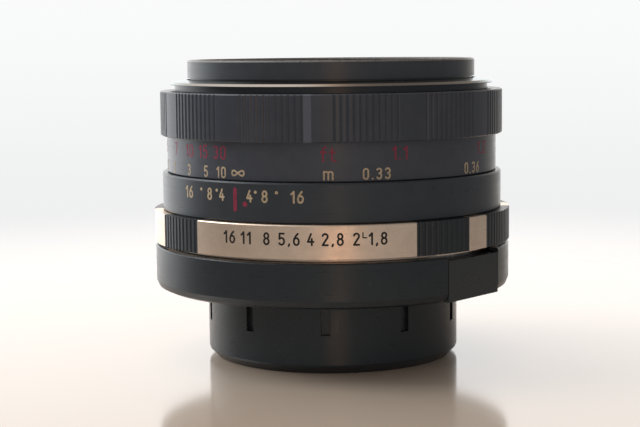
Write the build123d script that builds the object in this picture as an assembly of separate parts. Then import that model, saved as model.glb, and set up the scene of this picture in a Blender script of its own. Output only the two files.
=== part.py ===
from build123d import *
import os
from math import asin, atan2, copysign, cos, degrees, hypot, radians, sin, sqrt

# A manual-focus 50 mm prime lens for a 42 mm screw mount, standing on its rear cap.
# Millimetres. The optical axis is Z, with the front glass up. The origin is the centre of the cap's
# flat underside. A bearing is an angle about Z in degrees, from -Y (the front) towards +X.

# ---- driving dimensions: optics and mount ----
focal_length = 50.0
widest_stop = 1.8
smallest_stop = 16.0
closest_distance = 330.0
focus_throw = 314.0
mount_thread_radius = 21.0
filter_root_radius = 24.5

# ---- driving dimensions: outside, from the cap upwards ----
cap_radius = 22.3
cap_height = 12.4
cap_chamfer = 1.4
flange_height = 12.45
base_radius = 31.5
base_top = 20.05
aperture_ring_radius = 31.6
aperture_ring_low = 20.7
aperture_ring_high = 26.25
index_ring_radius = 30.1
index_ring_low = 26.33
index_ring_high = 32.85
scale_ring_radius = 29.2
scale_ring_low = 32.93
scale_ring_high = 39.25
grip_radius = 30.3
grip_low = 39.3
grip_high = 47.05
shoulder_radius = 28.5
shoulder_neck_radius = 27.7
shoulder_low = 47.1
shoulder_lip = 48.1
shoulder_edge = 48.6
shoulder_high = 49.0
front_radius = 25.43
front_tube_radius = 25.0
lens_height = 52.4

# ---- driving dimensions: running parts ----
running_gap = 0.1
front_bore = 25.6
slide_gap = 0.05
tube_outer = 28.0
tube_bore = 26.45
helicoid_outer = 26.4
helicoid_bore = 23.9
barrel_outer = 23.8
barrel_bore = 22.6
barrel_low = 18.2
housing_radius = 22.5
housing_bore = 21.2
housing_low = 21.5
housing_high = 26.5

# ---- driving dimensions: iris ----
blade_count = 6
iris_open_radius = 11.0
blade_inner = 11.4
blade_outer = 18.4
blade_heel_angle = -8.0
blade_tip_angle = 130.0
blade_thickness = 0.1
blade_pitch = 0.2
blade_low = 23.25
pivot_radius = 19.5
pivot_pin_radius = 0.5
drive_arm = 3.4
drive_pin_radius = 0.45
drive_turn = 12.0
drive_ring_low = 22.4
drive_ring_high = 23.1
iris_closed_radius = iris_open_radius * widest_stop / smallest_stop
blade_turn = 2 * degrees(asin((blade_inner - iris_closed_radius) / (2 * pivot_radius)))

# ---- driving dimensions: grips and controls ----
index_bearing = -31.8
knurl_pitch = 2.0
knurl_half_width = 0.56
knurl_depth = 0.15
grip_zones = 12
grip_zone_width = 22.0
grip_land_bearing = -4.5
band_start = -45.3
band_end = 25.2
bright_land_width = 9.2
wide_land_width = 20.0
side_black_width = 20.3
back_blacks = 6
segment_floor_radius = 29.9
button_bearing = 50.2
button_face = 30.65
button_thickness = 1.2
button_half_width = 7.27
stem_low = 16.7
stem_high = 17.9
button_travel = 1.2
button_low = 12.5
button_high = 19.35
pin_bearing = index_bearing + 180
pin_circle = 17.9
pin_radius = 0.8
pin_travel = 3.0
pin_low = 6.4
pin_high = 14.9
tail_bearing = 300.0
tail_inner = 17.6
tail_outer = 18.8
tail_half_width = 2.5
stop_pin_circle = 26.95
stop_pin_radius = 0.4
stop_pin_bearing = 340.0
key_bearings = (90, 270)
rear_screw_circle = 15.6
rear_screw_bearings = (0, 120, 240)
cap_grooves = 10
cap_groove_phase = -3.6
cap_groove_half_width = 0.8
cap_groove_length = 5.8
cap_groove_depth = 0.75

# The focus slide from infinity to the closest distance, by the thin-lens rule.
close_image_distance = (
    closest_distance - sqrt(closest_distance**2 - 4 * focal_length * closest_distance)
) / 2
focus_extension = close_image_distance - focal_length


# ---- helpers ----
def turned(*outline):
    """A solid of revolution about Z from (radius, height) corners."""
    return revolve(make_face(Plane.XZ * Polyline(*outline, close=True)), Axis.Z)


def tube(inner, outer, low, high):
    """A plain ring between two radii and two heights."""
    return turned((inner, low), (outer, low), (outer, high), (inner, high))


def spot(radius, bearing, height=0.0):
    """The point at a radius and bearing."""
    angle = radians(bearing - 90)
    return Vector(radius * cos(angle), radius * sin(angle), height)


def facing(bearing, height=0.0):
    """A location on the axis whose local X points outwards at a bearing."""
    return Location((0, 0, height), (0, 0, bearing - 90))


def sector(inner, outer, low, high, start, end):
    """A ring segment between two bearings."""
    middle = (start + end) / 2
    outline = [
        ThreePointArc(spot(outer, start), spot(outer, middle), spot(outer, end)),
        Line(spot(outer, end), spot(inner, end)),
        ThreePointArc(spot(inner, end), spot(inner, middle), spot(inner, start)),
        Line(spot(inner, start), spot(outer, start)),
    ]
    return Pos(0, 0, low) * extrude(make_face(outline), high - low, dir=(0, 0, 1))


def post(radius, bearing, half_width, low, high):
    """An upright pin at a radius and bearing."""
    centre = spot(radius, bearing, (low + high) / 2)
    return Pos(*centre) * Cylinder(half_width, high - low)


def block(inner, outer, half_width, low, high, bearing):
    """A straight bar between two distances from the axis, square to a bearing."""
    size = (outer - inner, 2 * half_width, high - low)
    return facing(bearing) * Pos((inner + outer) / 2, 0, (low + high) / 2) * Box(*size)


def screw(radius, bearing, head_radius, head, shank_radius, shank):
    """A slotted upright screw; head and shank are (low, high) heights."""
    slot_width = 0.35
    slot_depth = 0.35
    up = head[0] > shank[0]
    body = post(radius, bearing, head_radius, *head) + post(radius, bearing, shank_radius, *shank)
    face = head[1] if up else head[0]
    slot = Pos(*spot(radius, bearing, face)) * Box(3 * head_radius, slot_width, 2 * slot_depth)
    return body - slot


def fall(curve, radius):
    """How far a spherical surface falls back from its vertex at a radius."""
    return curve - copysign(sqrt(curve * curve - radius * radius), curve)


def optic(front, back, front_curve, back_curve, rim, front_clear=None, back_clear=None):
    """A glass element. A curve is positive where the surface bulges towards the front.
    A clear radius below the rim leaves a flat ground shoulder outside it."""
    front_clear = front_clear or rim
    back_clear = back_clear or rim
    front_edge = front - fall(front_curve, front_clear)
    back_edge = back - fall(back_curve, back_clear)
    front_middle = (front_clear / 2, front - fall(front_curve, front_clear / 2))
    back_middle = (back_clear / 2, back - fall(back_curve, back_clear / 2))
    outline = [
        Line((0, back), (0, front)),
        ThreePointArc((0, front), front_middle, (front_clear, front_edge)),
        Line((rim, front_edge), (rim, back_edge)),
        ThreePointArc((back_clear, back_edge), back_middle, (0, back)),
    ]
    if front_clear < rim:
        outline.append(Line((front_clear, front_edge), (rim, front_edge)))
    if back_clear < rim:
        outline.append(Line((rim, back_edge), (back_clear, back_edge)))
    face = make_face([Plane.XZ * edge for edge in outline])
    return revolve(face, Axis.Z)


def flutes(radius, low, high, centre, width):
    """Upright V grooves that fill a zone of a grip."""
    count = int(width / knurl_pitch)
    first = centre - (count - 1) * knurl_pitch / 2
    outline = [
        (radius - knurl_depth, 0),
        (radius + knurl_depth, -knurl_half_width),
        (radius + knurl_depth, knurl_half_width),
    ]
    groove = extrude(make_face(Polyline(*outline, close=True)), high - low, dir=(0, 0, 1))
    return [facing(first + i * knurl_pitch, low) * groove for i in range(count)]


# ---- optical barrel: the part that slides forward to focus ----
def optical_barrel():
    """The sliding barrel, its front and rear cells, and the glass."""
    parts = {}
    thread_low = 48.6
    rim_low = 49.3
    rim_chamfer = 0.3
    tube_low = 37.55
    tube_inner = 24.3
    seat_radius = 24.05
    seat_height = 47.3
    ledge_radius = 23.2
    parts["filter_ring"] = turned(
        (tube_inner, tube_low),
        (front_tube_radius, tube_low),
        (front_tube_radius, rim_low),
        (front_radius, rim_low),
        (front_radius, lens_height - rim_chamfer),
        (front_radius - rim_chamfer, lens_height),
        (filter_root_radius + rim_chamfer, lens_height),
        (filter_root_radius, lens_height - rim_chamfer),
        (filter_root_radius, thread_low),
        (seat_radius, thread_low),
        (seat_radius, seat_height),
        (ledge_radius, seat_height),
        (ledge_radius, seat_height - 1.1),
        (tube_inner, seat_height - 1.9),
    )

    name_radius = seat_radius - 0.05
    name_low = seat_height + 0.05
    name_high = thread_low - 0.1
    glass_rim_radius = 16.3
    glass_rim_height = 41.8
    parts["name_ring"] = turned(
        (22.9, name_low),
        (name_radius, name_low),
        (name_radius, name_high),
        (name_radius - 0.7, name_high),
        (glass_rim_radius, glass_rim_height + 0.6),
        (glass_rim_radius, glass_rim_height),
        (glass_rim_radius + 0.6, glass_rim_height),
    )

    collar_low = 36.1
    collar_high = tube_low - 0.05
    wall_low = 26.6
    wall_high = 28.0
    wall_bore = 17.7
    front_bore_radius = 22.3
    barrel = turned(
        (barrel_bore, barrel_low),
        (barrel_outer, barrel_low),
        (barrel_outer, collar_low),
        (front_tube_radius, collar_low),
        (front_tube_radius, collar_high),
        (front_bore_radius, collar_high),
        (front_bore_radius, wall_high),
        (wall_bore, wall_high),
        (wall_bore, wall_low),
        (barrel_bore, wall_low),
    )
    key_slot_half_width = 1.6
    key_slot_high = 32.5
    for bearing in key_bearings:
        slot_low = barrel_low - 1
        barrel -= block(barrel_bore - 0.4, 24.6, key_slot_half_width, slot_low, key_slot_high, bearing)
    parts["inner_barrel"] = barrel

    cell_outer = 17.6
    cell_low = 25.9
    cell_high = 41.4
    lip_radius = 10.9
    step_height = 36.2
    front_rim = 16.3
    middle_rim = 13.6
    flange_radius = 21.5
    flange_low = wall_high + 0.05
    flange_high = 29.4
    cell = turned(
        (middle_rim + 0.05, wall_low + 0.05),
        (lip_radius, wall_low + 0.05),
        (lip_radius, cell_low),
        (cell_outer, cell_low),
        (cell_outer, flange_low),
        (flange_radius, flange_low),
        (flange_radius, flange_high),
        (cell_outer, flange_high),
        (cell_outer, cell_high),
        (front_rim + 0.05, cell_high),
        (front_rim + 0.05, step_height),
        (middle_rim + 0.05, step_height),
    )
    screw_circle = 19.6
    cell_bearings = (30, 150, 270)
    for bearing in cell_bearings:
        hole = post(screw_circle, bearing, 0.6, cell_low, flange_high + 1)
        cell -= hole
        parts["inner_barrel"] -= hole
    parts["front_cell"] = cell
    head = (flange_high, flange_high + 0.9)
    shank = (wall_low + 0.1, flange_high + 0.1)
    parts["front_cell_screws"] = Compound(
        [screw(screw_circle, bearing, 1.1, head, 0.58, shank) for bearing in cell_bearings]
    )
    ring_bore = 15.2
    ring_high = cell_high - 0.05
    ring = tube(ring_bore, front_rim, 40.2, ring_high)
    parts["front_retaining_ring"] = notched(ring, ring_bore, ring_high - 0.55, ring_high)

    # The front group: a thin meniscus, a spacer, and a cemented pair.
    front_vertex = 43.8
    second_vertex = 38.5
    second_curve = 20.5
    cemented_vertex = 32.5
    cement = 0.02
    cemented_curve = 55.0
    spacer_bore = 12.9
    parts["front_element"] = optic(front_vertex, 38.8, 33.0, 110.0, front_rim)
    parts["second_element"] = optic(
        second_vertex, cemented_vertex, second_curve, cemented_curve, middle_rim
    )
    parts["third_element"] = optic(
        cemented_vertex - cement, 30.7, cemented_curve, 16.5, middle_rim, back_clear=10.8
    )
    spacer_low = second_vertex - fall(second_curve, spacer_bore) + 0.04
    parts["front_spacer"] = turned(
        (spacer_bore, spacer_low),
        (middle_rim, spacer_low),
        (middle_rim, step_height + 0.05),
        (front_rim - 0.05, step_height + 0.05),
        (front_rim - 0.05, tube_low),
        (spacer_bore, tube_low),
    )

    # The rear group, in its own cell behind the iris: a cemented pair and a last single element.
    pair_rim = 11.5
    last_rim = 11.8
    rear_low = 4.9
    rear_high = housing_low - 0.05
    rear_outer = 14.2
    rear_flange_radius = 16.9
    rear_flange_low = 19.9
    pair_seat = 12.8
    last_seat = 9.05
    rear = turned(
        (pair_rim + 0.1, rear_high),
        (pair_rim + 0.1, pair_seat),
        (lip_radius, pair_seat),
        (lip_radius, last_seat),
        (last_rim + 0.1, last_seat),
        (last_rim + 0.1, rear_low),
        (rear_outer, rear_low),
        (rear_outer, rear_flange_low),
        (rear_flange_radius, rear_flange_low),
        (rear_flange_radius, rear_high),
    )
    for bearing in rear_screw_bearings:
        rear -= post(rear_screw_circle, bearing, 0.5, 19, 22)
    parts["rear_cell"] = rear
    head = (rear_flange_low - 0.7, rear_flange_low)
    shank = (rear_flange_low - 0.1, 22.2)
    parts["rear_cell_screws"] = Compound(
        [screw(rear_screw_circle, bearing, 0.9, head, 0.48, shank) for bearing in rear_screw_bearings]
    )
    fourth_vertex = 17.7
    pair_vertex = 16.1
    pair_curve = 60.0
    parts["fourth_element"] = optic(
        fourth_vertex, pair_vertex, -16.0, pair_curve, pair_rim, front_clear=10.0
    )
    parts["fifth_element"] = optic(pair_vertex - cement, 10.1, pair_curve, -23.0, pair_rim)
    parts["rear_element"] = optic(9.8, 5.6, 75.0, -42.0, last_rim)
    ring_bore = 10.6
    ring_low = 5.0
    ring = tube(ring_bore, last_rim + 0.05, ring_low, 6.85)
    parts["rear_retaining_ring"] = notched(ring, ring_bore, ring_low, ring_low + 0.5)
    return parts


def notched(ring, radius, low, high):
    """Cuts the two spanner notches of a retaining ring."""
    return ring - [block(radius - 1, radius + 2, 0.5, low - 0.1, high + 0.1, b) for b in (0, 180)]


# ---- iris ----
def blade_bearing(index):
    """The bearing of a blade's pivot pin."""
    return 90 + 360 / blade_count * index


def blade_spot(index, radius, angle):
    """A point of a blade, by its polar angle from the pivot pin."""
    return spot(radius, blade_bearing(index) + angle)


def drive_pin_polar(share):
    """Radius and angle of a blade's drive pin when it has closed by a share of its travel."""
    turn = radians(blade_turn * share)
    across = pivot_radius - drive_arm * sin(turn)
    along = drive_arm * cos(turn)
    return hypot(across, along), degrees(atan2(along, across))


def iris_blade(index):
    """A thin crescent with a pivot pin forward and a drive pin rearward."""
    low = blade_low + blade_pitch * index
    high = low + blade_thickness
    pivot = blade_bearing(index)
    drive_radius, drive_angle = drive_pin_polar(0)
    drive = pivot + drive_angle
    crescent = sector(
        blade_inner, blade_outer, low, high, pivot + blade_heel_angle, pivot + blade_tip_angle
    )
    neck = sector(blade_outer - 1.4, pivot_radius, low, high, pivot - 3, drive + 1.5)
    ears = post(pivot_radius, pivot, 1.2, low, high) + post(drive_radius, drive, 1.1, low, high)
    pivot_pin = post(pivot_radius, pivot, pivot_pin_radius, low, 25.5)
    drive_pin = post(drive_radius, drive, drive_pin_radius, drive_ring_low + 0.05, high)
    return crescent + neck + ears + pivot_pin + drive_pin


def iris_drive_ring():
    """The ring whose cam slots swing the blades, with the tail that reaches back to the mount."""
    ring = tube(12.4, housing_bore - running_gap, drive_ring_low, drive_ring_high)
    steps = 4
    slots = []
    for index in range(blade_count):
        path = []
        for step in range(steps + 1):
            share = step / steps
            radius, angle = drive_pin_polar(share)
            path.append(blade_spot(index, radius, angle - drive_turn * share))
        width = 2 * (drive_pin_radius + slide_gap)
        outline = trace(Spline(*path), width)
        for end in (path[0], path[-1]):
            outline += Pos(*end) * Circle(width / 2)
        depth = drive_ring_high - drive_ring_low + 1
        slots.append(Pos(0, 0, drive_ring_low - 0.5) * extrude(outline, depth, dir=(0, 0, 1)))
    ring -= slots
    tail = sector(
        tail_inner,
        tail_outer,
        9.2,
        drive_ring_low + 0.3,
        tail_bearing - tail_half_width,
        tail_bearing + tail_half_width,
    )
    return ring + tail


def iris_housing():
    """The cup that holds the iris, its cover and the snap ring that keeps it in."""
    parts = {}
    floor_high = 22.3
    cup = turned(
        (iris_open_radius, housing_low),
        (housing_radius, housing_low),
        (housing_radius, housing_high),
        (housing_bore, housing_high),
        (housing_bore, floor_high),
        (iris_open_radius, floor_high),
    )
    tail_room = 0.8
    cup -= sector(
        tail_inner - 0.2,
        tail_outer + 0.2,
        housing_low - 0.5,
        floor_high + 0.7,
        tail_bearing - tail_half_width - tail_room,
        tail_bearing + tail_half_width + drive_turn + tail_room,
    )
    for bearing in rear_screw_bearings:
        cup -= post(rear_screw_circle, bearing, 0.5, housing_low - 0.5, floor_high + 0.05)
    parts["iris_housing"] = cup
    cover_low = 24.85
    cover_high = 25.65
    cover = tube(iris_open_radius, housing_bore - slide_gap, cover_low, cover_high)
    for index in range(blade_count):
        hole_radius = pivot_pin_radius + slide_gap
        cover -= post(pivot_radius, blade_bearing(index), hole_radius, cover_low - 1, cover_high + 1)
    parts["iris_cover"] = cover
    gap_half_width = 6
    snap_low = cover_high + 0.05
    parts["iris_snap_ring"] = sector(
        20.2, housing_bore - slide_gap, snap_low, snap_low + 0.7, gap_half_width, 360 - gap_half_width
    )
    return parts


# ---- fixed body ----
def fixed_parts():
    """Everything that stays still with the camera."""
    parts = {}
    notch_floor = button_face - 2.55
    notch_half_width = button_half_width + 0.13
    notch = block(
        notch_floor, 34, notch_half_width, flange_height - 0.5, base_top + 0.05, button_bearing
    )

    plate_low = 14.2
    flange_radius = 27.5
    flange_step_radius = 26.5
    flange_step = 13.4
    base_bore = 30.0
    base = turned(
        (flange_radius + 0.1, flange_height),
        (base_radius - 1.35, flange_height),
        (base_radius - 0.4, flange_height + 0.45),
        (base_radius, flange_height + 1.4),
        (base_radius, base_top - 0.25),
        (base_radius - 0.25, base_top),
        (base_bore, base_top),
        (base_bore, plate_low),
        (flange_step_radius + 0.1, plate_low),
        (flange_step_radius + 0.1, flange_step),
        (flange_radius + 0.1, flange_step),
    )
    parts["base_ring"] = base - notch

    thread_pitch = 1.0
    thread_depth = 0.5
    thread_low = 7.9
    flange_bore = 19.2
    flange_outline = [(flange_bore, thread_low), (mount_thread_radius - thread_depth, thread_low)]
    for turn in range(4):
        crest = thread_low + 0.5 + thread_pitch * turn
        flange_outline += [
            (mount_thread_radius, crest - 0.1),
            (mount_thread_radius, crest + 0.1),
            (mount_thread_radius - thread_depth, crest + thread_pitch / 2),
        ]
    flange_outline += [
        (mount_thread_radius - thread_depth, flange_height),
        (flange_radius, flange_height),
        (flange_radius, flange_step - 0.05),
        (flange_step_radius, flange_step - 0.05),
        (flange_step_radius, plate_low),
        (flange_bore, plate_low),
    ]
    flange = turned(*flange_outline)
    boss_low = 10.4
    boss_high = 12.2
    flange += block(16.8, flange_bore + 0.4, 2.2, boss_low, boss_high, pin_bearing)
    flange -= post(pin_circle, pin_bearing, pin_radius + slide_gap, boss_low - 1, boss_high + 1)

    plate_bottom = plate_low + 0.05
    plate_top = 16.2
    plate_bore = 24.1
    nut_room_radius = 27.2
    nut_room_high = 20.6
    tube_high = 38.5
    barrel = turned(
        (plate_bore, plate_bottom),
        (base_bore - 0.2, plate_bottom),
        (base_bore - 0.2, plate_top),
        (tube_outer, plate_top),
        (tube_outer, tube_high),
        (tube_bore, tube_high),
        (tube_bore, nut_room_high),
        (nut_room_radius, nut_room_high),
        (nut_room_radius, plate_top),
        (plate_bore, plate_top),
    )
    barrel -= notch
    barrel -= block(26, 29, 1.7, stem_low - 0.2, stem_high + 0.2, button_bearing)

    screw_circle = 25.35
    sink_radius = 1.65
    sink_high = 13.3
    hole_radius = 0.9
    mount_bearings = (45, 135, 225, 315)
    for bearing in mount_bearings:
        flange -= post(screw_circle, bearing, sink_radius, flange_height - 0.5, sink_high)
        flange -= post(screw_circle, bearing, hole_radius, flange_height - 0.5, plate_bottom + 1)
        barrel -= post(screw_circle, bearing, hole_radius, plate_low, plate_top + 0.1)
    parts["mount_flange"] = flange
    head = (flange_height + 0.05, sink_high)
    shank = (sink_high - 0.1, plate_top - 0.1)
    parts["mount_screws"] = Compound(
        [screw(screw_circle, bearing, 1.6, head, 0.85, shank) for bearing in mount_bearings]
    )

    key_low = plate_top + 0.05
    key_high = 32.0
    foot_high = 17.6
    key_screw_circle = 25.2
    key_screw_step = 4.6
    head = (foot_high, foot_high + 0.6)
    shank = (plate_bottom + 0.25, foot_high + 0.1)
    keys = []
    key_screws = []
    for bearing in key_bearings:
        bar = block(22.75, 23.7, 1.5, key_low, key_high, bearing)
        foot = block(23.6, 26.3, 3.4, key_low, foot_high, bearing)
        for place in (bearing - key_screw_step, bearing + key_screw_step):
            hole = post(key_screw_circle, place, 0.5, plate_bottom - 1, foot_high + 1)
            foot -= hole
            barrel -= hole
            key_screws.append(screw(key_screw_circle, place, 0.85, head, 0.45, shank))
        keys.append(bar + foot)
    parts["guide_keys"] = Compound(keys)
    parts["key_screws"] = Compound(key_screws)

    pin_foot = tube_high - 2
    pin_top = tube_high + 1.1
    stop_pin = post(stop_pin_circle, stop_pin_bearing, stop_pin_radius, pin_foot, pin_top)
    barrel -= post(stop_pin_circle, stop_pin_bearing, stop_pin_radius, pin_foot, tube_high + 0.5)
    parts["focus_stop_pin"] = stop_pin

    ball_height = 23.5
    ball_radius = 0.6
    ball = Pos(*spot(tube_outer - 0.15, 180, ball_height)) * Sphere(ball_radius)
    drill = Rot(0, 90, 0) * Cylinder(ball_radius, 2.2)
    pocket = facing(180, ball_height) * Pos(tube_outer, 0, 0) * drill
    parts["click_ball"] = ball
    parts["fixed_barrel"] = barrel - pocket

    parts["index_ring"] = turned(
        (tube_outer + slide_gap, index_ring_low),
        (index_ring_radius - 0.15, index_ring_low),
        (index_ring_radius, index_ring_low + 0.15),
        (index_ring_radius, index_ring_high - 0.25),
        (index_ring_radius - 0.25, index_ring_high),
        (tube_outer + slide_gap, index_ring_high),
    )
    leaf_reach = 6
    leaf_end = button_face - button_thickness - 0.15
    leaf_arc = ThreePointArc(
        (leaf_end, -leaf_reach), (notch_floor + 0.15, 0), (leaf_end, leaf_reach)
    )
    leaf = extrude(trace(leaf_arc, 0.2), 1.5, dir=(0, 0, 1))
    parts["button_spring"] = facing(button_bearing, plate_low + 0.2) * leaf
    return parts


# ---- focus ring assembly ----
def focus_parts():
    """The turning ring, its scale, and the threaded sleeve that drives the barrel."""
    parts = {}
    sleeve_low = 20.6
    seat_height = 38.9
    seat_radius = 27.4
    bore_step = 36.0
    sleeve = turned(
        (helicoid_bore, sleeve_low),
        (helicoid_outer, sleeve_low),
        (helicoid_outer, seat_height),
        (seat_radius, seat_height),
        (seat_radius, grip_high),
        (front_bore, grip_high),
        (front_bore, bore_step),
        (helicoid_bore, bore_step - 0.4),
    )
    stop_room = 2.5
    track_high = 40.1
    track_start = stop_pin_bearing - focus_throw - stop_room
    track_end = stop_pin_bearing + stop_room
    track_inner = stop_pin_circle - 0.6
    sleeve -= sector(track_inner, 28, seat_height - 0.4, track_high, track_start, track_end)
    parts["focus_helicoid"] = sleeve

    nut_bore = 24.0
    nut_low = 19.3
    nut = tube(nut_bore, 27.05, nut_low, sleeve_low - 0.1)
    parts["helicoid_retaining_ring"] = notched(nut, nut_bore, nut_low, nut_low + 0.5)

    edge = 0.2
    grip_bore = seat_radius + 0.05
    grip = turned(
        (grip_bore, grip_low),
        (grip_radius - edge, grip_low),
        (grip_radius, grip_low + edge),
        (grip_radius, grip_high - edge),
        (grip_radius - edge, grip_high),
        (grip_bore, grip_high),
    )
    zone_step = 360 / grip_zones
    grooves = []
    for zone in range(grip_zones):
        centre = grip_land_bearing + zone_step * (zone + 0.5)
        grooves += flutes(grip_radius, grip_low - 1, grip_high + 1, centre, grip_zone_width)
    parts["focus_ring"] = grip - grooves

    scale_bore = tube_outer + 0.3
    lip_bore = seat_radius + 0.1
    lip_low = seat_height + 0.05
    parts["distance_scale_ring"] = turned(
        (scale_bore, scale_ring_low),
        (scale_ring_radius - 0.15, scale_ring_low),
        (scale_ring_radius, scale_ring_low + 0.15),
        (scale_ring_radius, scale_ring_high),
        (lip_bore, scale_ring_high),
        (lip_bore, lip_low),
        (scale_bore, lip_low),
    )
    parts["shoulder_ring"] = turned(
        (front_bore, shoulder_low),
        (shoulder_neck_radius, shoulder_low),
        (shoulder_neck_radius, shoulder_lip),
        (shoulder_radius, shoulder_lip),
        (shoulder_radius, shoulder_lip + 0.12),
        (shoulder_radius - 0.45, shoulder_edge),
        (front_bore + 0.15, shoulder_high),
        (front_bore, shoulder_high),
    )
    return parts


# ---- aperture ring assembly ----
def black_spans():
    """Start and end bearings of the black segments: one at each end of the number band, and the
    rest round the back, after a wide bright land on the left."""
    right = band_end + side_black_width
    left = band_start - side_black_width
    spans = [(band_end, right), (left, band_start)]
    start = right + bright_land_width
    room = left - wide_land_width + 360 - start
    width = (room - bright_land_width * (back_blacks - 1)) / back_blacks
    for index in range(back_blacks):
        spans.append((start, start + width))
        start += width + bright_land_width
    return spans


def aperture_parts():
    """The bright ring with its lands, and the black fluted segments set between them."""
    parts = {}
    foot_radius = 29.6
    foot_low = 20.15
    ring_bore = tube_outer + running_gap
    groove_radius = 28.6
    groove_low = 22.8
    groove_high = 24.2
    low_edge = 0.05
    high_edge = 0.15
    ring = turned(
        (ring_bore, foot_low),
        (foot_radius, foot_low),
        (foot_radius, aperture_ring_low),
        (aperture_ring_radius - low_edge, aperture_ring_low),
        (aperture_ring_radius, aperture_ring_low + low_edge),
        (aperture_ring_radius, aperture_ring_high - high_edge),
        (aperture_ring_radius - high_edge, aperture_ring_high),
        (ring_bore, aperture_ring_high),
        (ring_bore, groove_high),
        (groove_radius, groove_high),
        (groove_radius, groove_low),
        (ring_bore, groove_low),
    )
    low = aperture_ring_low
    high = aperture_ring_high
    segments = []
    for start, end in black_spans():
        ring -= sector(segment_floor_radius, 33, low - 0.1, high + 0.1, start, end)
        segment = sector(segment_floor_radius + 0.02, aperture_ring_radius, low, high, start, end)
        grooves = flutes(aperture_ring_radius, low - 1, high + 1, (start + end) / 2, end - start)
        segments.append(segment - grooves)
    parts["aperture_ring"] = ring
    parts["aperture_grips"] = Compound(segments)
    return parts


# ---- stop-down linkage ----
def stop_down_ring():
    """The ring that the stop-down pin turns, with a ramp, a finger for the iris tail and a lug."""
    ring_bore = 19.4
    ring_outer = 24.0
    ring_low = 14.4
    ring_high = 15.9
    ring = tube(ring_bore, ring_outer, ring_low, ring_high)
    finger_end = tail_bearing - tail_half_width - 0.3
    finger = sector(tail_inner, ring_bore + 0.4, ring_low, 21.2, finger_end - 5, finger_end)
    lug_start = button_bearing + 8
    lug = sector(22.6, ring_outer - 0.1, ring_high - 0.1, 17.5, lug_start, lug_start + 4)
    slope = pin_travel / (pin_circle * radians(drive_turn))
    ahead = 1.0
    behind = -5.2
    rise_start = pin_high + 0.15 + slope * (pin_radius - ahead)
    rise_end = rise_start + slope * (ahead - behind)
    middle = drive_turn / 2
    shift = pin_circle * radians(middle)
    ramp_top = 20.6
    ramp_inner = 17.15
    ramp_width = ring_bore + 0.2 - ramp_inner
    side = [
        (shift + ahead, rise_start),
        (shift + behind, rise_end),
        (shift + behind, ramp_top),
        (shift + ahead, ramp_top),
    ]
    profile = make_face(Plane.YZ * Polyline(*side, close=True))
    ramp = Pos(ramp_inner, 0, 0) * extrude(profile, ramp_width, dir=(1, 0, 0))
    return ring + finger + lug + facing(pin_bearing - middle) * ramp


def stop_down_pin():
    """The pin that the camera presses; its collar stops it in the mount's boss."""
    pin = post(pin_circle, pin_bearing, pin_radius, pin_low, pin_high)
    collar = post(pin_circle, pin_bearing, 1.15, 12.3, 12.9)
    return pin + collar


def preview_button():
    """The flat push plate in the base ring, with its stem and head."""
    plate_back = button_face - button_thickness
    stem_end = 25.4
    plate = block(
        plate_back, button_face, button_half_width, button_low, button_high, button_bearing
    )
    stem = block(stem_end, plate_back + 0.15, 1.5, stem_low, stem_high, button_bearing)
    head = block(stem_end, stem_end + 0.9, 2.6, stem_low, stem_high, button_bearing)
    return plate + stem + head


def return_spring():
    """The small tension spring that opens the iris again."""
    bearing = 210.0
    height = 16.9
    coil_radius = 0.55
    wire_radius = 0.11
    coil_pitch = 0.5
    turns = 10
    length = coil_pitch * turns
    centre_radius = 21.6
    helix = Helix(coil_pitch, length, coil_radius)
    wire = sweep(Plane(helix @ 0, z_dir=helix % 0) * Circle(wire_radius), helix, is_frenet=True)
    lie_down = facing(bearing, height) * Pos(centre_radius, length / 2, 0) * Rot(90, 0, 0)
    return lie_down * wire


# ---- rear cap ----
def rear_cap():
    """A push-on cap with finger grooves down from its rim."""
    cap_bore = mount_thread_radius + 0.08
    floor = 1.5
    edge = 0.2
    cap = turned(
        (0, 0),
        (cap_radius - cap_chamfer, 0),
        (cap_radius - 0.12, cap_chamfer - 0.15),
        (cap_radius, cap_chamfer + 0.2),
        (cap_radius, cap_height - edge),
        (cap_radius - edge, cap_height),
        (cap_bore, cap_height),
        (cap_bore, floor),
        (0, floor),
    )
    groove_floor = cap_radius - cap_groove_depth
    groove_low = cap_height - cap_groove_length
    for index in range(cap_grooves):
        bearing = cap_groove_phase + 360 / cap_grooves * index
        cap -= block(groove_floor, 23, cap_groove_half_width, groove_low, cap_height + 1, bearing)
    return cap


# ---- assembly ----
def all_parts():
    """Every sub-part by name."""
    parts = {"rear_cap": rear_cap()}
    parts.update(fixed_parts())
    parts["stop_down_ring"] = stop_down_ring()
    parts["stop_down_pin"] = stop_down_pin()
    parts["preview_button"] = preview_button()
    parts["return_spring"] = return_spring()
    parts.update(aperture_parts())
    parts.update(focus_parts())
    parts.update(optical_barrel())
    parts.update(iris_housing())
    parts["iris_drive_ring"] = iris_drive_ring()
    for index in range(blade_count):
        parts[f"iris_blade_{index + 1}"] = iris_blade(index)
    return parts


os.makedirs("parts", exist_ok=True)
for name, shape in all_parts().items():
    export_step(shape, f"parts/{name}.step")

print("focus extension", round(focus_extension, 3), "mm over", focus_throw, "degrees")
print("focus ratio", round(focus_extension / 1000 / radians(focus_throw), 8), "metres per radian")
print("blade turn", round(blade_turn, 4), "degrees, ratio", round(blade_turn / drive_turn, 6))
print("pin ratio", round(pin_travel / 1000 / radians(drive_turn), 8), "metres per radian")
print("button ratio", round(button_travel / 1000 / radians(drive_turn), 8), "metres per radian")
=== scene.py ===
import bpy
from math import cos, hypot, pi, radians, sin, sqrt
from mathutils import Matrix, Vector


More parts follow.
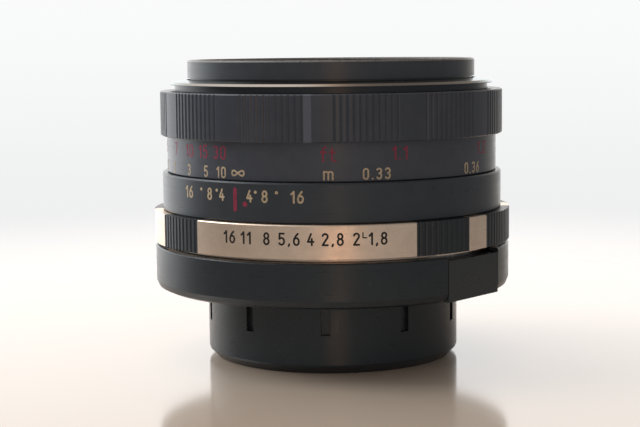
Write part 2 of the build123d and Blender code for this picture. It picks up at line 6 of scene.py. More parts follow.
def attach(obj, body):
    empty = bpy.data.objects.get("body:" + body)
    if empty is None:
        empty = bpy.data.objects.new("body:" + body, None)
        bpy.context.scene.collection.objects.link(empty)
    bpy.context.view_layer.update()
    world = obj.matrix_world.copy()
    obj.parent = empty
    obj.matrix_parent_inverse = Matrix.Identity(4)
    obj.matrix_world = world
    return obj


# A manual-focus 50 mm lens on its rear cap. Metres, with the optical axis on Z and the front of the
# view towards -Y. A bearing is an angle about Z in degrees, from -Y towards +X.

MM = 0.001
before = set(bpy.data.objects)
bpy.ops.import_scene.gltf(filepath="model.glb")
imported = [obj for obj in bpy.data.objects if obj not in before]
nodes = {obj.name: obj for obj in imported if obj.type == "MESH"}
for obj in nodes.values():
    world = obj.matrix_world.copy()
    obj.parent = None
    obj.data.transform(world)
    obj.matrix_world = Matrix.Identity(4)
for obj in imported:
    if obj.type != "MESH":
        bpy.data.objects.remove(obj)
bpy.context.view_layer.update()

# ---- marks: places and sizes ----
index_bearing = -32.0
focal_length = 50.0
closest_distance = 330.0
focus_throw = 314.0
mark_proud = 0.012
mark_depth = 0.03
stroke_width = 0.28
bold_stroke_width = 0.32
letter_gap = 0.42
aperture_letter_height = 2.12
aperture_marks_height = 24.0
depth_letter_height = 2.08
depth_marks_height = 30.62
metre_letter_height = 1.92
metre_marks_height = 34.2
feet_letter_height = 2.25
feet_marks_height = 37.45
degrees_per_stop_number = 1.306
aperture_labels = (
    ("16", -32.4), ("11", -26.7), ("8", -20.0), ("5,6", -13.1),
    ("4", -6.7), ("2,8", -0.3), ("2", 6.6), ("1,8", 13.0),
)
metre_labels = (
    "10", "5", "3", "2", "1.5", "1.2", "1", "0.8", "0.7", "0.6", "0.5", "0.45", "0.4", "0.36", "0.33",
)
feet_labels = (
    "30", "15", "10", "7", "5", "4", "3", "2.5", "2", "1.75", "1.5", "1.3", "1.2", "1.1",
)
foot = 304.8

# ---- colours, as linear light ----
cream = (0.62, 0.50, 0.34)
mark_black = (0.012, 0.012, 0.013)
mark_red = (0.32, 0.028, 0.075)
edge_grey = (0.13, 0.13, 0.14)
# Painted highlight: the warm pale tone laid over the front rim's chamfers.
rim_highlight = (0.40, 0.35, 0.30)
dust_tone = (0.30, 0.30, 0.31)
cool_sheen = (0.84, 0.95, 1.0)


# ======================= node material helpers =======================
def add(tree, kind, inputs=None, **settings):
    """Adds a shader node. An input that is a socket is linked, and any other value is set."""
    made = tree.nodes.new(kind)
    for name, value in settings.items():
        setattr(made, name, value)
    for name, value in (inputs or {}).items():
        if isinstance(value, bpy.types.NodeSocket):
            tree.links.new(value, made.inputs[name])
        else:
            made.inputs[name].default_value = value
    return made


def maths(tree, operation, first, second=0.0, clamp=False):
    """One arithmetic step on two numbers or sockets."""
    return add(tree, "ShaderNodeMath", {0: first, 1: second}, operation=operation, use_clamp=clamp).outputs[0]


def spread(tree, value, low, high, out_low=0.0, out_high=1.0):
    """Maps low..high onto out_low..out_high with smooth ends."""
    inputs = {"Value": value, "From Min": low, "From Max": high, "To Min": out_low, "To Max": out_high}
    return add(tree, "ShaderNodeMapRange", inputs, interpolation_type="SMOOTHSTEP").outputs["Result"]


def blend_colour(tree, share, first, second):
    """Mixes two colours by a share from 0 to 1."""
    made = add(tree, "ShaderNodeMix", data_type="RGBA")
    for socket, value in zip((made.inputs[0], made.inputs[6], made.inputs[7]), (share, first, second)):
        if isinstance(value, bpy.types.NodeSocket):
            tree.links.new(value, socket)
        elif isinstance(value, tuple):
            socket.default_value = (*value, 1.0)
        else:
            socket.default_value = value
    return made.outputs[2]


def round_coordinates(tree):
    """Places in millimetres: bearing in radians, radius, height, and the plain position."""
    place = add(tree, "ShaderNodeTexCoord").outputs["Object"]
    scaled = add(tree, "ShaderNodeVectorMath", {0: place, "Scale": 1 / MM}, operation="SCALE").outputs[0]
    split = add(tree, "ShaderNodeSeparateXYZ", {0: scaled})
    x, y, z = split.outputs
    bearing = maths(tree, "ARCTAN2", x, maths(tree, "MULTIPLY", y, -1.0))
    radius = maths(tree, "SQRT", maths(tree, "ADD", maths(tree, "MULTIPLY", x, x), maths(tree, "MULTIPLY", y, y)))
    return {"bearing": bearing, "radius": radius, "height": z, "place": scaled}


def noise(tree, vector, scale, detail=2.0, roughness=0.5):
    return add(
        tree, "ShaderNodeTexNoise",
        {"Vector": vector, "Scale": scale, "Detail": detail, "Roughness": roughness},
    ).outputs["Fac"]


def turned_lines(tree, where, fineness, run=0.6):
    """Fine lines left by turning on a lathe: narrow across the section and long round the axis."""
    around = maths(tree, "MULTIPLY", where["bearing"], run)
    across = maths(tree, "MULTIPLY", where["radius"], fineness)
    up = maths(tree, "MULTIPLY", where["height"], fineness)
    vector = add(tree, "ShaderNodeCombineXYZ", {0: around, 1: across, 2: up}).outputs[0]
    return noise(tree, vector, 1.0, 3.0, 0.6)


def dust(tree, where, spacing, size):
    """Sparse specks of dust, one here and there."""
    cells = add(tree, "ShaderNodeTexVoronoi", {"Vector": where["place"], "Scale": 1 / spacing})
    near = spread(tree, cells.outputs["Distance"], size / spacing, 0.4 * size / spacing)
    chance = add(tree, "ShaderNodeSeparateColor", {0: cells.outputs["Color"]}).outputs[0]
    return maths(tree, "MULTIPLY", near, maths(tree, "GREATER_THAN", chance, 0.55))


def slanted(tree, low=0.35, high=0.75):
    """One where a face is a chamfer, neither upright nor flat."""
    facing = add(tree, "ShaderNodeNewGeometry").outputs["Normal"]
    up = maths(tree, "ABSOLUTE", add(tree, "ShaderNodeSeparateXYZ", {0: facing}).outputs[2])
    rising = spread(tree, up, low, low + 0.15)
    falling = spread(tree, up, high + 0.15, high)
    return maths(tree, "MULTIPLY", rising, falling)


def bump(tree, height, strength, distance):
    return add(
        tree, "ShaderNodeBump", {"Height": height, "Strength": strength, "Distance": distance * MM}
    ).outputs["Normal"]


def material(name):
    """An empty material with its tree and its main shader."""
    made = bpy.data.materials.new(name)
    made.use_nodes = True
    tree = made.node_tree
    shader = tree.nodes["Principled BSDF"]
    return made, tree, shader


def wire(tree, shader, **sockets):
    """Sets or links the main shader's sockets, with _ for a space in each name."""
    for name, value in sockets.items():
        socket = shader.inputs[name.replace("_", " ")]
        if isinstance(value, bpy.types.NodeSocket):
            tree.links.new(value, socket)
        elif isinstance(value, tuple) and len(value) == 3:
            socket.default_value = (*value, 1.0)
        else:
            socket.default_value = value


# ======================= materials =======================
def between(tree, value, low, high, soft):
    """One where a value lies between two limits, with soft edges."""
    rising = spread(tree, value, low - soft, low + soft)
    falling = spread(tree, value, high + soft, high - soft)
    return maths(tree, "MULTIPLY", rising, falling)


def anodised(name, tone, edge_tone, roughness, edge_share=0.2, wear_and_sheen=None, patches=(0.42, 0.62)):
    """Dyed anodised aluminium: dark and satin, with turning lines, pale chamfer edges and dust.
    The pale edges are worn dye on most rings, and a painted highlight on the front rim. An optional
    stretch of bearings is painted lighter and speckled, a painted highlight. Patches is how broken the pale edges
    are."""
    made, tree, shader = material(name)
    where = round_coordinates(tree)
    lines = turned_lines(tree, where, 7.0)
    cloud = noise(tree, where["place"], 0.35, 3.0)
    grain = noise(tree, where["place"], 14.0, 2.0)
    colour = blend_colour(tree, spread(tree, cloud, 0.35, 0.7), tone, tuple(c * 1.12 for c in tone))
    # Pale chamfer edges: worn dye on most rings, a painted highlight on the front rim.
    pale_edges = maths(tree, "MULTIPLY", slanted(tree), spread(tree, noise(tree, where["place"], 1.6, 4.0), *patches))
    colour = blend_colour(tree, maths(tree, "MULTIPLY", pale_edges, edge_share), colour, edge_tone)
    # Painted highlight: an optional stretch of bearings is painted lighter and speckled, standing for a vertical
    # sheen.
    if wear_and_sheen:
        start, end = (radians(bearing) for bearing in wear_and_sheen)
        sheen_strip = between(tree, where["bearing"], start, end, 0.004)
        speckled_sheen = maths(tree, "MULTIPLY", sheen_strip, spread(tree, grain, 0.25, 0.7, 0.6, 1.0))
        colour = blend_colour(tree, speckled_sheen, colour, tuple(c * 2.6 for c in tone))
    specks = dust(tree, where, 3.1, 0.13)
    colour = blend_colour(tree, maths(tree, "MULTIPLY", specks, 0.4), colour, dust_tone)
    rough = maths(tree, "ADD", spread(tree, lines, 0.3, 0.7, roughness - 0.02, roughness + 0.03),
                  spread(tree, cloud, 0.3, 0.7, -0.01, 0.02))
    relief = maths(tree, "ADD", lines, maths(tree, "MULTIPLY", grain, 0.35))
    wire(tree, shader, Base_Color=colour, Roughness=rough, IOR=1.55, Specular_Tint=cool_sheen,
         Normal=bump(tree, relief, 0.2, 0.004))
    return made


def diamond_cut(name, tone, metal_tone):
    """Black anodised metal whose sloping top was cut bright on the lathe afterwards."""
    made = anodised(name, tone, metal_tone, 0.3, 0.0)
    tree = made.node_tree
    shader = tree.nodes["Principled BSDF"]
    facing = add(tree, "ShaderNodeNewGeometry").outputs["Normal"]
    up = add(tree, "ShaderNodeSeparateXYZ", {0: facing}).outputs[2]
    cut = spread(tree, up, 0.5, 0.6)
    where = round_coordinates(tree)
    lines = turned_lines(tree, where, 12.0, 3.0)
    dyed = shader.inputs["Base Color"].links[0].from_socket
    bare = blend_colour(tree, spread(tree, lines, 0.3, 0.7), metal_tone, tuple(c * 0.85 for c in metal_tone))
    wire(tree, shader, Base_Color=blend_colour(tree, cut, dyed, bare), Metallic=cut,
         Roughness=spread(tree, cut, 0.0, 1.0, 0.3, 0.24))
    return made


def bright_aluminium(name, tone, roughness):
    """Bare turned aluminium, brushed round the axis, with faint stains and rubbed patches."""
    made, tree, shader = material(name)
    where = round_coordinates(tree)
    brushed = turned_lines(tree, where, 11.0, 4.0)
    stains = noise(tree, where["place"], 0.45, 4.0, 0.55)
    spots = noise(tree, where["place"], 2.4, 3.0)
    dull = tuple(c * 0.88 for c in tone)
    clouded = blend_colour(tree, spread(tree, stains, 0.35, 0.72), tone, dull)
    flecked = blend_colour(tree, spread(tree, spots, 0.68, 0.76, 0.0, 0.3), clouded, (0.36, 0.29, 0.23))
    streaked = blend_colour(tree, spread(tree, brushed, 0.3, 0.75, 0.0, 0.5), flecked, dull)
    rough = maths(tree, "ADD", spread(tree, brushed, 0.3, 0.7, roughness - 0.04, roughness + 0.05),
                  spread(tree, stains, 0.3, 0.7, 0.0, 0.03))
    wire(tree, shader, Base_Color=streaked, Metallic=1.0, Roughness=rough, Normal=bump(tree, brushed, 0.25, 0.004))
    return made


def plain_metal(name, tone, roughness, fineness=5.0):
    """Turned metal inside the lens."""
    made, tree, shader = material(name)
    where = round_coordinates(tree)
    lines = turned_lines(tree, where, fineness)
    tarnish = noise(tree, where["place"], 0.5, 4.0)
    colour = blend_colour(tree, spread(tree, tarnish, 0.35, 0.7), tone, tuple(c * 0.7 for c in tone))
    rough = spread(tree, lines, 0.3, 0.7, roughness - 0.06, roughness + 0.08)
    wire(tree, shader, Base_Color=colour, Metallic=1.0, Roughness=rough, Normal=bump(tree, lines, 0.4, 0.008))
    return made


def matt_black(name):
    """Flocked matt black paint on the light baffles."""
    made, tree, shader = material(name)
    where = round_coordinates(tree)
    grain = noise(tree, where["place"], 9.0, 4.0)
    colour = blend_colour(tree, spread(tree, grain, 0.35, 0.7), (0.010, 0.010, 0.011), (0.024, 0.024, 0.025))
    rough = spread(tree, grain, 0.3, 0.7, 0.62, 0.82)
    wire(tree, shader, Base_Color=colour, Roughness=rough, Normal=bump(tree, grain, 0.5, 0.02))
    return made


def moulded_plastic(name):
    """Semi-gloss black moulded plastic with flow marks and light scratches."""
    made, tree, shader = material(name)
    where = round_coordinates(tree)
    flow = noise(tree, where["place"], 0.16, 3.0)
    orange_peel = noise(tree, where["place"], 2.2, 2.0)
    stretched = add(tree, "ShaderNodeMapping", {"Vector": where["place"], "Scale": (0.25, 0.25, 3.5),
                                                "Rotation": (0.5, 0.3, 0.0)}).outputs[0]
    scratches = spread(tree, noise(tree, stretched, 1.9, 6.0, 0.75), 0.70, 0.80)
    tone = blend_colour(tree, spread(tree, flow, 0.35, 0.7), (0.0185, 0.0245, 0.0325), (0.0215, 0.0280, 0.0360))
    scuffed = maths(tree, "MULTIPLY", slanted(tree), spread(tree, orange_peel, 0.45, 0.65, 0.0, 0.12))
    wear_and_sheen = blend_colour(tree, maths(tree, "MAXIMUM", maths(tree, "MULTIPLY", scratches, 0.3), scuffed),
                          tone, (0.11, 0.11, 0.115))
    rough = maths(tree, "ADD", spread(tree, flow, 0.3, 0.7, 0.26, 0.33), maths(tree, "MULTIPLY", scratches, 0.2))
    relief = maths(tree, "ADD", orange_peel, maths(tree, "MULTIPLY", scratches, -0.3))
    wire(tree, shader, Base_Color=wear_and_sheen, Roughness=rough, IOR=1.5, Specular_Tint=cool_sheen,
         Normal=bump(tree, relief, 0.08, 0.015))
    return made


def blade_steel(name):
    """Thin blued steel, rubbed in arcs."""
    made, tree, shader = material(name)
    where = round_coordinates(tree)
    arcs = turned_lines(tree, where, 3.0)
    cloud = noise(tree, where["place"], 0.6, 4.0)
    colour = blend_colour(tree, spread(tree, cloud, 0.35, 0.7), (0.045, 0.047, 0.052), (0.10, 0.10, 0.105))
    rough = spread(tree, arcs, 0.3, 0.7, 0.34, 0.5)
    wire(tree, shader, Base_Color=colour, Metallic=0.8, Roughness=rough, Normal=bump(tree, arcs, 0.3, 0.004))
    return made


def coated_glass(name):
    """Clear glass with a single-layer coating that reflects purple and amber, and a little dust."""
    made, tree, shader = material(name)
    where = round_coordinates(tree)
    specks = dust(tree, where, 1.7, 0.09)
    haze = noise(tree, where["place"], 0.8, 4.0)
    tint = blend_colour(tree, maths(tree, "MULTIPLY", specks, 0.5), (0.975, 0.98, 0.97), (0.6, 0.6, 0.6))
    rough = maths(tree, "ADD", spread(tree, haze, 0.45, 0.8, 0.0, 0.025), maths(tree, "MULTIPLY", specks, 0.3))
    wire(tree, shader, Base_Color=tint, Roughness=rough, IOR=1.62, Transmission_Weight=1.0,
         Thin_Film_Thickness=118.0, Thin_Film_IOR=1.38)
    return made


def paint(name, tone, roughness=0.5):
    """Engraving paint: slightly uneven, chipped thin in places."""
    made, tree, shader = material(name)
    where = round_coordinates(tree)
    uneven = noise(tree, where["place"], 3.5, 4.0)
    colour = blend_colour(tree, spread(tree, uneven, 0.42, 0.75), tone, tuple(c * 0.55 for c in tone))
    rough = spread(tree, uneven, 0.3, 0.7, roughness - 0.06, roughness + 0.1)
    wire(tree, shader, Base_Color=colour, Roughness=rough, Normal=bump(tree, uneven, 0.3, 0.01))
    return made


# Painted light: the black anodised tones here are lighter and darker copies of one finish. They are lighter and bluer
# on the upper rings as a painted glare from the bright light behind, and darker on the lower rings as painted shade.
slot_materials = {
    "black_anodised": anodised("anodised_black", (0.021, 0.026, 0.032), edge_grey, 0.32),
    "scale_black": anodised("anodised_scale", (0.060, 0.066, 0.084), edge_grey, 0.30, 0.1),
    "shoulder_black": diamond_cut("anodised_shoulder", (0.032, 0.034, 0.040), (0.40, 0.345, 0.30)),
    "bright_aluminium": bright_aluminium("aluminium_band", (0.96, 0.79, 0.635), 0.30),
    "inner_aluminium": plain_metal("aluminium_inner", (0.66, 0.66, 0.67), 0.38),
    "inner_black": matt_black("baffle_black"),
    "brass": plain_metal("brass_turned", (0.70, 0.48, 0.20), 0.34),
    "steel": plain_metal("steel_small", (0.56, 0.56, 0.58), 0.30, 3.0),
    "blade_steel": blade_steel("steel_blade"),
    "coated_glass": coated_glass("glass_coated"),
    "cap_plastic": moulded_plastic("plastic_cap"),
}
# Painted light: each ring's tone below is a lit or shaded copy of the same black anodised finish.
node_materials = {
    # The focus ring's stretch from -8.9 to -6.5 degrees is a painted highlight.
    "focus_ring": anodised("anodised_focus", (0.049, 0.054, 0.070), edge_grey, 0.31, 0.15, (-8.9, -6.5)),
    # The front rim's chamfers are painted almost all over in a warm pale tone: a painted highlight.
    "filter_ring": anodised("anodised_front", (0.050, 0.055, 0.066), rim_highlight, 0.32, 0.45, patches=(0.1, 0.6)),
    "aperture_grips": anodised("anodised_grips", (0.0165, 0.021, 0.027), edge_grey, 0.36, 0.05),
    "base_ring": anodised("anodised_base", (0.0155, 0.0210, 0.0270), edge_grey, 0.29, 0.15),
    "index_ring": anodised("anodised_index", (0.036, 0.042, 0.052), edge_grey, 0.30, 0.1),
}
node_materials["preview_button"] = node_materials["base_ring"]
for name, part in nodes.items():
    for holder in part.material_slots:
        holder.material = node_materials.get(name, slot_materials[holder.material.name])

cream_paint = paint("paint_cream", cream)
black_paint = paint("paint_black", mark_black, 0.6)
red_paint = paint("paint_red", mark_red)


# ======================= engraved marks =======================
def arc(centre, across, up, start, end, steps=10):
    """Points on an ellipse's arc, with its angles in degrees."""
    turns = [radians(start + (end - start) * i / steps) for i in range(steps + 1)]
    return [(centre[0] + across * cos(t), centre[1] + up * sin(t)) for t in turns]


def bent(start, pull, end, steps=6):
    """Points on a curve from start to end that leans towards pull."""
    shares = [i / steps for i in range(steps + 1)]
    return [
        tuple(a * (1 - s) ** 2 + 2 * b * s * (1 - s) + c * s * s for a, b, c in zip(start, pull, end))
        for s in shares
    ]


# Each letter is a width and its strokes' centre lines, one unit high, each open or closed.
digit_width = 0.46


def six():
    w = digit_width
    bowl = (arc((w / 2, 0.31), w / 2, 0.31, 90, 450, 20)[:-1], True)
    stem = (bent((0.80 * w, 1.0), (0.14 * w, 0.72), (0.01 * w, 0.36)), False)
    return [bowl, stem]


def infinity_sign():
    turns = [2 * pi * i / 40 for i in range(40)]
    return [([(0.72 + 0.72 * sin(t), 0.5 + 0.25 * sin(2 * t)) for t in turns], True)]


def glyph(letter):
    """The width and strokes of one letter."""
    w = digit_width
    half = w / 2
    if letter == "0":
        ring = arc((half, 1 - half), half, half, 0, 180, 9) + arc((half, half), half, half, 180, 360, 9)
        return w, [(ring, True)]
    if letter == "1":
        return 0.23, [([(0.0, 0.76), (0.23, 1.0)], False), ([(0.23, 1.0), (0.23, 0.0)], False)]
    if letter == "2":
        top = arc((half, 1 - half), half, half, 165, -35)
        return w, [(top + [(0.0, 0.0)], False), ([(0.0, 0.0), (w, 0.0)], False)]
    if letter == "3":
        upper = arc((half, 0.765), half, 0.235, 150, -90)
        lower = arc((half, 0.265), half, 0.265, 90, -150)
        return w, [(upper, False), (lower, False)]
    if letter == "4":
        slant = [(0.62 * w, 1.0), (0.0, 0.30)]
        return 1.08 * w, [
            (slant, False), ([(0.0, 0.30), (1.08 * w, 0.30)], False),
            ([(0.76 * w, 0.56), (0.76 * w, 0.0)], False),
        ]
    if letter == "5":
        bowl = arc((0.46 * w, 0.31), 0.54 * w, 0.31, 130, -145)
        top = [(0.94 * w, 1.0), (0.1 * w, 1.0)]
        back = [(0.1 * w, 1.0), (0.05 * w, 0.52)]
        return w, [(top, False), (back, False), (bowl, False)]
    if letter == "6":
        return w, six()
    if letter == "7":
        return w, [([(0.0, 1.0), (w, 1.0)], False), ([(w, 1.0), (0.28 * w, 0.0)], False)]
    if letter == "8":
        upper = arc((half, 0.765), 0.43 * w, 0.235, 0, 360, 18)[:-1]
        lower = arc((half, 0.265), half, 0.265, 0, 360, 18)[:-1]
        return w, [(upper, True), (lower, True)]
    if letter == ",":
        return 0.06, [([(0.06, 0.06), (0.0, -0.10)], False)]
    if letter == ".":
        return 0.02, [([(0.0, 0.01), (0.02, 0.01)], False)]
    if letter == "m":
        arch = arc((0.215, 0.56), 0.215, 0.21, 180, 0, 8) + [(0.43, 0.0)]
        second = [(x + 0.43, y) for x, y in arch]
        return 0.86, [([(0.0, 0.0), (0.0, 0.77)], False), (arch, False), (second, False)]
    if letter == "f":
        stem = [(0.18, 0.0)] + arc((0.36, 0.80), 0.18, 0.20, 180, 80, 6)
        return 0.40, [(stem, False), ([(0.0, 0.64), (0.38, 0.64)], False)]
    if letter == "t":
        stem = [(0.16, 0.94)] + arc((0.34, 0.18), 0.18, 0.18, 180, 290, 6)
        return 0.40, [(stem, False), ([(0.0, 0.64), (0.38, 0.64)], False)]
    return 1.44, infinity_sign()


def stroke_sections(points, closed, half_width, end_steps=3):
    """Cross-sections along a stroke as (place, sideways direction, half width), rounded at open ends."""
    count = len(points)
    sections = []
    for i, place in enumerate(points):
        before = points[i - 1] if closed or i else place
        after = points[(i + 1) % count] if closed or i < count - 1 else place
        along = Vector(after) - Vector(before)
        along.normalize()
        sections.append((Vector(place), Vector((-along.y, along.x)), half_width))
    if closed:
        return sections

    def rounded(section, sign):
        place, side, width = section
        along = Vector((side.y, -side.x)) * sign
        turns = [pi / 2 * (k + 1) / (end_steps + 0.4) for k in range(end_steps)]
        return [(place + along * width * sin(t), side, width * cos(t)) for t in turns]

    return rounded(sections[0], -1)[::-1] + sections + rounded(sections[-1], 1)


def wrapped(radius, bearing, across, height, outwards):
    """A place on a round ring: arc length and height in mm from a bearing, and a distance outwards."""
    angle = radians(bearing) + across / radius
    return Vector(((radius + outwards) * sin(angle), -(radius + outwards) * cos(angle), height)) * MM


def add_stroke(mesh, radius, bearing, sections, closed):
    """Adds one stroke as a thin closed slab that follows the ring and stands a little proud."""
    verts, faces = mesh
    first = len(verts)
    for place, side, width in sections:
        left, right = place + side * width, place - side * width
        verts += [
            wrapped(radius, bearing, left.x, left.y, mark_proud),
            wrapped(radius, bearing, right.x, right.y, mark_proud),
            wrapped(radius, bearing, right.x, right.y, -mark_depth),
            wrapped(radius, bearing, left.x, left.y, -mark_depth),
        ]
    count = len(sections)
    for i in range(count if closed else count - 1):
        a, b = first + 4 * i, first + 4 * ((i + 1) % count)
        faces += [(a + k, a + (k + 1) % 4, b + (k + 1) % 4, b + k) for k in range(4)]
    if not closed:
        last = first + 4 * (count - 1)
        faces += [(first + 3, first + 2, first + 1, first), (last, last + 1, last + 2, last + 3)]


def write(mesh, text, radius, bearing, height, size, gap=letter_gap, width=stroke_width):
    """Adds a short text, centred on a bearing and on a height, with size as its outer height."""
    scale = size - width
    letters = [glyph(letter) for letter in text]
    whole = sum(w * scale + width for w, _ in letters) + gap * (len(letters) - 1)
    left = -whole / 2 + width / 2
    base = height - scale / 2
    for letter_width, strokes in letters:
        for points, closed in strokes:
            placed = [(left + x * scale, base + y * scale) for x, y in points]
            sections = stroke_sections(placed, closed, width / 2)
            add_stroke(mesh, radius, bearing, sections, closed)
        left += letter_width * scale + width + gap


def bar(mesh, radius, bearing, low, high, width):
    """Adds an upright line with rounded ends."""
    steps = 8
    reach = width / 2
    points = [(0.0, low + reach + (high - low - width) * i / steps) for i in range(steps + 1)]
    add_stroke(mesh, radius, bearing, stroke_sections(points, False, reach, 5), False)


def dot(mesh, radius, bearing, height, width):
    """Adds a round dot."""
    tiny = 0.01
    points = [(-tiny, height), (tiny, height)]
    add_stroke(mesh, radius, bearing, stroke_sections(points, False, width / 2, 7), False)


def finish_piece(name, mesh, body, finish, smooth=False):
    """Makes one piece of the object from its corners and faces."""
    data = bpy.data.meshes.new(name)
    data.from_pydata(mesh[0], [], mesh[1])
    data.validate()
    data.update()
    piece = bpy.data.objects.new(name, data)
    bpy.context.scene.collection.objects.link(piece)
    data.materials.append(finish)
    for face in data.polygons:
        face.use_smooth = smooth
    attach(piece, body)
    return piece


def ring_radius(name):
    """The outer radius of a ring node, in mm."""
    return max(hypot(v.co.x, v.co.y) for v in nodes[name].data.vertices) / MM


def focus_bearing(distance):
    """Where a distance in mm stands on the focus scale, by the thin-lens rule."""
    def travel(d):
        return (d - sqrt(d * d - 4 * focal_length * d)) / 2 - focal_length
    return index_bearing - travel(distance) / travel(closest_distance) * focus_throw


aperture_radius = ring_radius("aperture_ring")
index_radius = ring_radius("index_ring")
scale_radius = ring_radius("distance_scale_ring")

aperture_numbers = ([], [])
for label, bearing in aperture_labels:
    write(aperture_numbers, label, aperture_radius, bearing, aperture_marks_height, aperture_letter_height,
          width=bold_stroke_width)
finish_piece("aperture_numbers", aperture_numbers, "aperture_selector", black_paint)

# A small angle mark between 2 and 1.8.
angle_mark = ([], [])
angle_corner, angle_low, angle_high, angle_foot = 8.5, 24.2, 25.0, 0.62
for path in ([(0.0, angle_high), (0.0, angle_low)], [(0.0, angle_low), (angle_foot, angle_low)]):
    add_stroke(angle_mark, aperture_radius, angle_corner, stroke_sections(path, False, 0.1), False)
finish_piece("aperture_angle_mark", angle_mark, "aperture_selector", black_paint)

depth_numbers = ([], [])
depth_dots = ([], [])
for side in (-1, 1):
    for number in ("4", "8", "16"):
        place = index_bearing + side * degrees_per_stop_number * float(number)
        write(depth_numbers, number, index_radius, place, depth_marks_height, depth_letter_height, 0.36,
              bold_stroke_width)
    for number in (5.6, 11.0):
        place = index_bearing + side * degrees_per_stop_number * number
        dot(depth_dots, index_radius, place, 31.3, 0.52)
finish_piece("depth_numbers", depth_numbers, "lens_body", cream_paint)
finish_piece("depth_dots", depth_dots, "lens_body", cream_paint)

index_line = ([], [])
bar(index_line, index_radius, index_bearing, 28.0, 31.95, 0.68)
finish_piece("focus_index_line", index_line, "lens_body", red_paint)
infrared_dot = ([], [])
dot(infrared_dot, index_radius, -28.4, 29.27, 0.88)
finish_piece("infrared_dot", infrared_dot, "lens_body", red_paint)

metre_numbers = ([], [])
for label in metre_labels:
    place = focus_bearing(float(label) * 1000)
    write(metre_numbers, label, scale_radius, place, metre_marks_height, metre_letter_height)
write(metre_numbers, "i", scale_radius, index_bearing, metre_marks_height, metre_letter_height)
write(metre_numbers, "m", scale_radius, -1.5, metre_marks_height, metre_letter_height)
finish_piece("metre_numbers", metre_numbers, "focus_grip", cream_paint)

feet_numbers = ([], [])
for label in feet_labels:
    place = focus_bearing(float(label) * foot)
    write(feet_numbers, label, scale_radius, place, feet_marks_height, feet_letter_height, 0.46)
write(feet_numbers, "f", scale_radius, -3.0, feet_marks_height, 2.5)
write(feet_numbers, "t", scale_radius, -0.1, feet_marks_height, 2.5)
finish_piece("feet_numbers", feet_numbers, "focus_grip", red_paint)


# ======================= filter thread =======================
def filter_thread():
    """The inner screw thread of the front rim, as one ridge that runs out at both ends."""
    root, crest, pitch = 24.52, 24.12, 0.75
    low, high, steps_per_turn = 48.95, 51.75, 96
    count = int((high - low) / pitch * steps_per_turn)
    verts, faces = [], []
    for i in range(count + 1):
        turn = 2 * pi * i / steps_per_turn
        middle = low + pitch * i / steps_per_turn
        fade = min(1.0, i / 16, (count - i) / 16)
        tip = root - (root - crest) * max(fade, 0.02)
        profile = ((root, middle - 0.3), (tip, middle - 0.05), (tip, middle + 0.05), (root, middle + 0.3))
        for radius, height in profile:
            verts.append(Vector((radius * cos(turn), radius * sin(turn), height)) * MM)
    for i in range(count):
        a, b = 4 * i, 4 * (i + 1)
        faces += [(a + k, b + k, b + (k + 1) % 4, a + (k + 1) % 4) for k in range(4)]
    last = 4 * count
    faces += [(0, 1, 2, 3), (last + 3, last + 2, last + 1, last)]
    finish_piece("filter_thread_ridge", (verts, faces), "optical_barrel",
                 slot_materials["black_anodised"])


filter_thread()


# ======================= floor, light and camera =======================
def floor():
    """A pale glossy floor that fades into the background."""
    reach = 3.0
    data = bpy.data.meshes.new("floor")
    corners = [(-reach, -reach, 0), (reach, -reach, 0), (reach, reach, 0), (-reach, reach, 0)]
    data.from_pydata(corners, [], [(0, 1, 2, 3)])
    piece = bpy.data.objects.new("floor", data)
    bpy.context.scene.collection.objects.link(piece)
    made, tree, shader = material("table_pale")
    place = add(tree, "ShaderNodeTexCoord").outputs["Object"]
    cloud = noise(tree, place, 9.0, 4.0)
    tone = blend_colour(tree, spread(tree, cloud, 0.3, 0.7), (0.70, 0.57, 0.46), (0.72, 0.60, 0.49))
    rough = spread(tree, cloud, 0.3, 0.7, 0.09, 0.12)
    wire(tree, shader, Base_Color=tone, Roughness=rough, IOR=2.0)
    away = add(tree, "ShaderNodeVectorMath", {0: place}, operation="LENGTH").outputs["Value"]
    see_through = add(tree, "ShaderNodeBsdfTransparent").outputs[0]
    mixed = add(tree, "ShaderNodeMixShader", {0: spread(tree, away, 0.05, 0.26)})
    tree.links.new(shader.outputs[0], mixed.inputs[1])
    tree.links.new(see_through, mixed.inputs[2])
    tree.links.new(mixed.outputs[0], tree.nodes["Material Output"].inputs["Surface"])
    data.materials.append(made)


# Light by direction: the share of a turn from the front, by way of the left side, and its colour.
low_light = (
    (0.00, (0.215, 0.212, 0.212)), (0.22, (0.092, 0.092, 0.093)), (0.28, (0.20, 0.20, 0.21)),
    (0.33, (0.78, 0.79, 0.80)), (0.42, (1.00, 1.00, 1.00)), (0.552, (0.98, 0.98, 0.98)),
    (0.569, (0.52, 0.50, 0.46)), (0.60, (0.34, 0.32, 0.29)), (0.64, (0.13, 0.13, 0.13)),
    (0.80, (0.125, 0.125, 0.127)), (1.00, (0.215, 0.212, 0.212)),
)
high_light = (
    (0.00, (0.20, 0.185, 0.175)), (0.20, (0.30, 0.29, 0.28)), (0.33, (0.95, 0.96, 0.97)),
    (0.44, (0.62, 0.58, 0.55)), (0.50, (0.56, 0.38, 0.27)), (0.56, (0.30, 0.26, 0.23)),
    (0.64, (0.10, 0.10, 0.10)), (1.00, (0.20, 0.185, 0.175)),
)


def colour_ramp(tree, turn, stops):
    """Colours along a turn."""
    ramp = add(tree, "ShaderNodeValToRGB", {0: turn})
    elements = ramp.color_ramp.elements
    while len(elements) < len(stops):
        elements.new(0.5)
    for element, (position, colour) in zip(elements, stops):
        element.position = position
        element.color = (*colour, 1.0)
    return ramp.outputs[0]


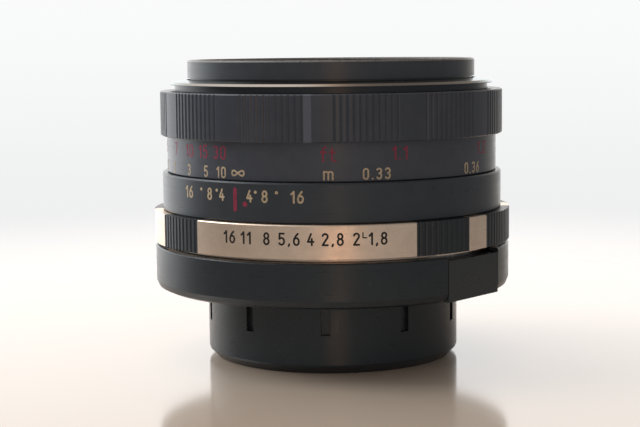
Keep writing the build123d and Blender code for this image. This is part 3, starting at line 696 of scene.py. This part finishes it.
def daylight():
    """Daylight from behind and from the left, a dim room in front, and a pale background."""
    world = bpy.data.worlds.new("daylight")
    bpy.context.scene.world = world
    world.use_nodes = True
    tree = world.node_tree
    background = tree.nodes["Background"]
    direction = add(tree, "ShaderNodeTexCoord").outputs["Generated"]
    x, y, z = add(tree, "ShaderNodeSeparateXYZ", {0: direction}).outputs
    turn = maths(tree, "ADD", maths(tree, "DIVIDE", maths(tree, "ARCTAN2", x, y), 2 * pi), 0.5)
    raised = spread(tree, z, 0.2, 0.5)
    lit = blend_colour(tree, raised, colour_ramp(tree, turn, low_light), colour_ramp(tree, turn, high_light))
    pale = blend_colour(tree, spread(tree, z, -0.12, 0.03), (0.865, 0.868, 0.872), (0.955, 0.957, 0.96))
    seen = add(tree, "ShaderNodeLightPath").outputs["Is Camera Ray"]
    tree.links.new(blend_colour(tree, seen, lit, pale), background.inputs["Color"])
    strength = 1.75
    unseen = maths(tree, "SUBTRACT", 1.0, seen)
    tree.links.new(maths(tree, "ADD", maths(tree, "MULTIPLY", unseen, strength), seen), background.inputs["Strength"])


def lamp(name, place, size, power, colour):
    """A soft square lamp that points at the lens."""
    light = bpy.data.lights.new(name, "AREA")
    light.shape = "SQUARE"
    light.size = size
    light.energy = power
    light.color = colour
    holder = bpy.data.objects.new(name, light)
    bpy.context.scene.collection.objects.link(holder)
    holder.location = place
    holder.visible_camera = False
    aim = Vector((0, 0, 0.03)) - Vector(place)
    holder.rotation_euler = aim.to_track_quat("-Z", "Y").to_euler()


def camera():
    """A short telephoto view from a little above the lens."""
    pitch, roll = 90 - 6.29, -0.55
    data = bpy.data.cameras.new("view")
    data.sensor_width = 36.0
    data.lens = 86.2
    holder = bpy.data.objects.new("view", data)
    bpy.context.scene.collection.objects.link(holder)
    holder.location = (-0.00215, -0.2738, 0.0549)
    turned = Matrix.Rotation(radians(pitch), 3, "X") @ Matrix.Rotation(radians(roll), 3, "Z")
    holder.rotation_euler = turned.to_euler()
    bpy.context.scene.camera = holder


floor()
daylight()
lamp("warm_front", (0.045, -0.75, 0.12), 0.07, 0.19, (1.0, 0.50, 0.24))
lamp("soft_left", (-0.75, 0.1, 0.6), 0.5, 3.0, (1.0, 0.98, 0.96))
camera()
bpy.context.scene.view_settings.view_transform = "Standard"
